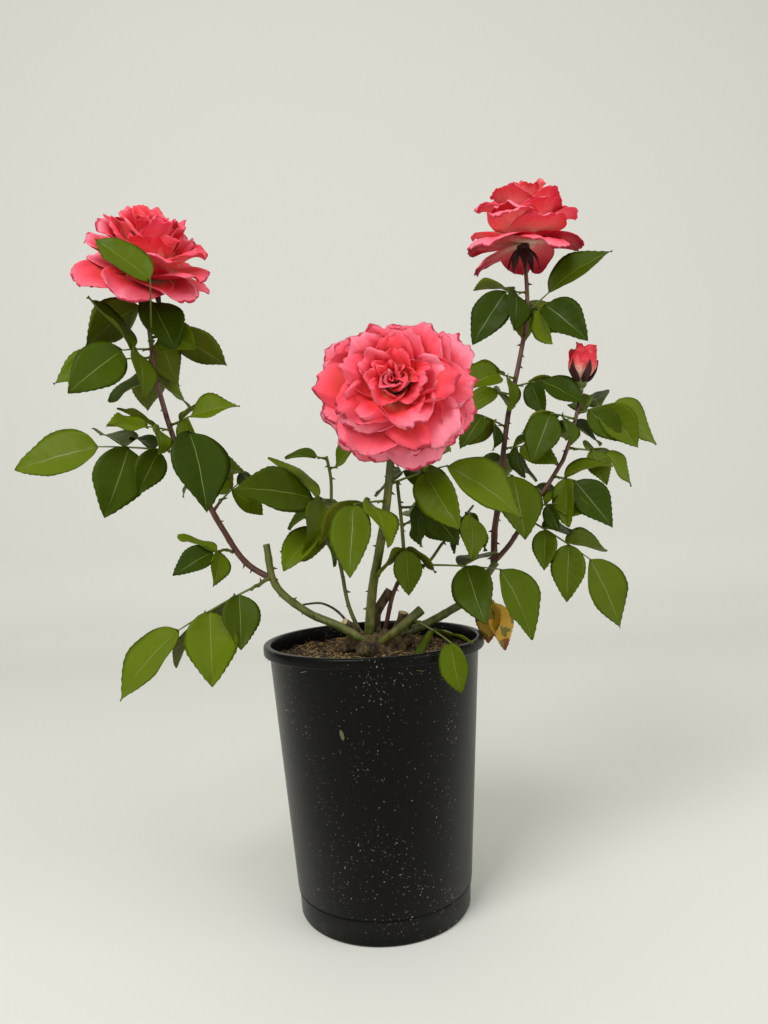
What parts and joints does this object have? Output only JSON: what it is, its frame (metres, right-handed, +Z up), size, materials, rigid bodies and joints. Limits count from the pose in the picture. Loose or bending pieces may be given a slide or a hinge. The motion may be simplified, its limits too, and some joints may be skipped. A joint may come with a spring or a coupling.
{
  "type": "potted rose bush",
  "caption": "Bush rose in a deep black moulded plastic pot, with open pink blooms, a bud and glossy green leaves on thorny canes.",
  "frame": {"origin": "middle of the pot's flat underside", "axes": "+Z up, +X to the right and +Y away from the front of the plant"},
  "size_m": [0.6023, 0.3033, 0.6854],
  "materials": {
    "pot_plastic": "black moulded polypropylene, satin, with splashed soil specks",
    "compost": "moist brown peat compost with pale fibres",
    "old_bark": "rough grey-brown bark of the bud union and the cut stubs",
    "green_bark": "smooth green cane bark with prickles",
    "red_bark": "smooth red-brown bark of young shoots",
    "leaf": "glossy green rose leaf, paler underneath",
    "yellow_leaf": "yellowed leaf with green and brown patches",
    "petal": "satin rose petal, coral pink with paler bases and deeper rims"
  },
  "bodies": {
    "root": {"pot": "pot_plastic", "compost": "compost", "bud_union": "old_bark", "front_stub": "old_bark", "middle_stub": "old_bark", "right_stub": "old_bark", "outer_stub": "old_bark", "left_cane": "green_bark", "left_shoot": "red_bark", "centre_cane": "green_bark", "right_cane": "green_bark", "right_shoot": "red_bark", "bud_shoot": "red_bark", "inner_left_shoot": "green_bark", "inner_centre_shoot": "red_bark", "side_twig": "green_bark", "dry_twig": "old_bark", "left_fork_leaf": "leaf", "left_low_leaf": "leaf", "left_inner_leaf": "leaf", "side_leaf": "leaf", "yellow_leaf": "yellow_leaf", "low_leaf": "leaf", "left_middle_foliage": "leaf", "left_upper_foliage": "leaf", "centre_foliage": "leaf", "inner_left_foliage": "leaf", "right_lower_foliage": "leaf", "inner_centre_foliage": "leaf", "centre_right_foliage": "leaf", "right_middle_foliage": "leaf", "right_upper_foliage": "leaf", "bud_lower_foliage": "leaf", "bud_upper_foliage": "leaf", "left_bloom": "petal", "front_bloom": "petal", "right_bloom": "petal", "rose_bud": "petal"}
  },
  "joints": []
}
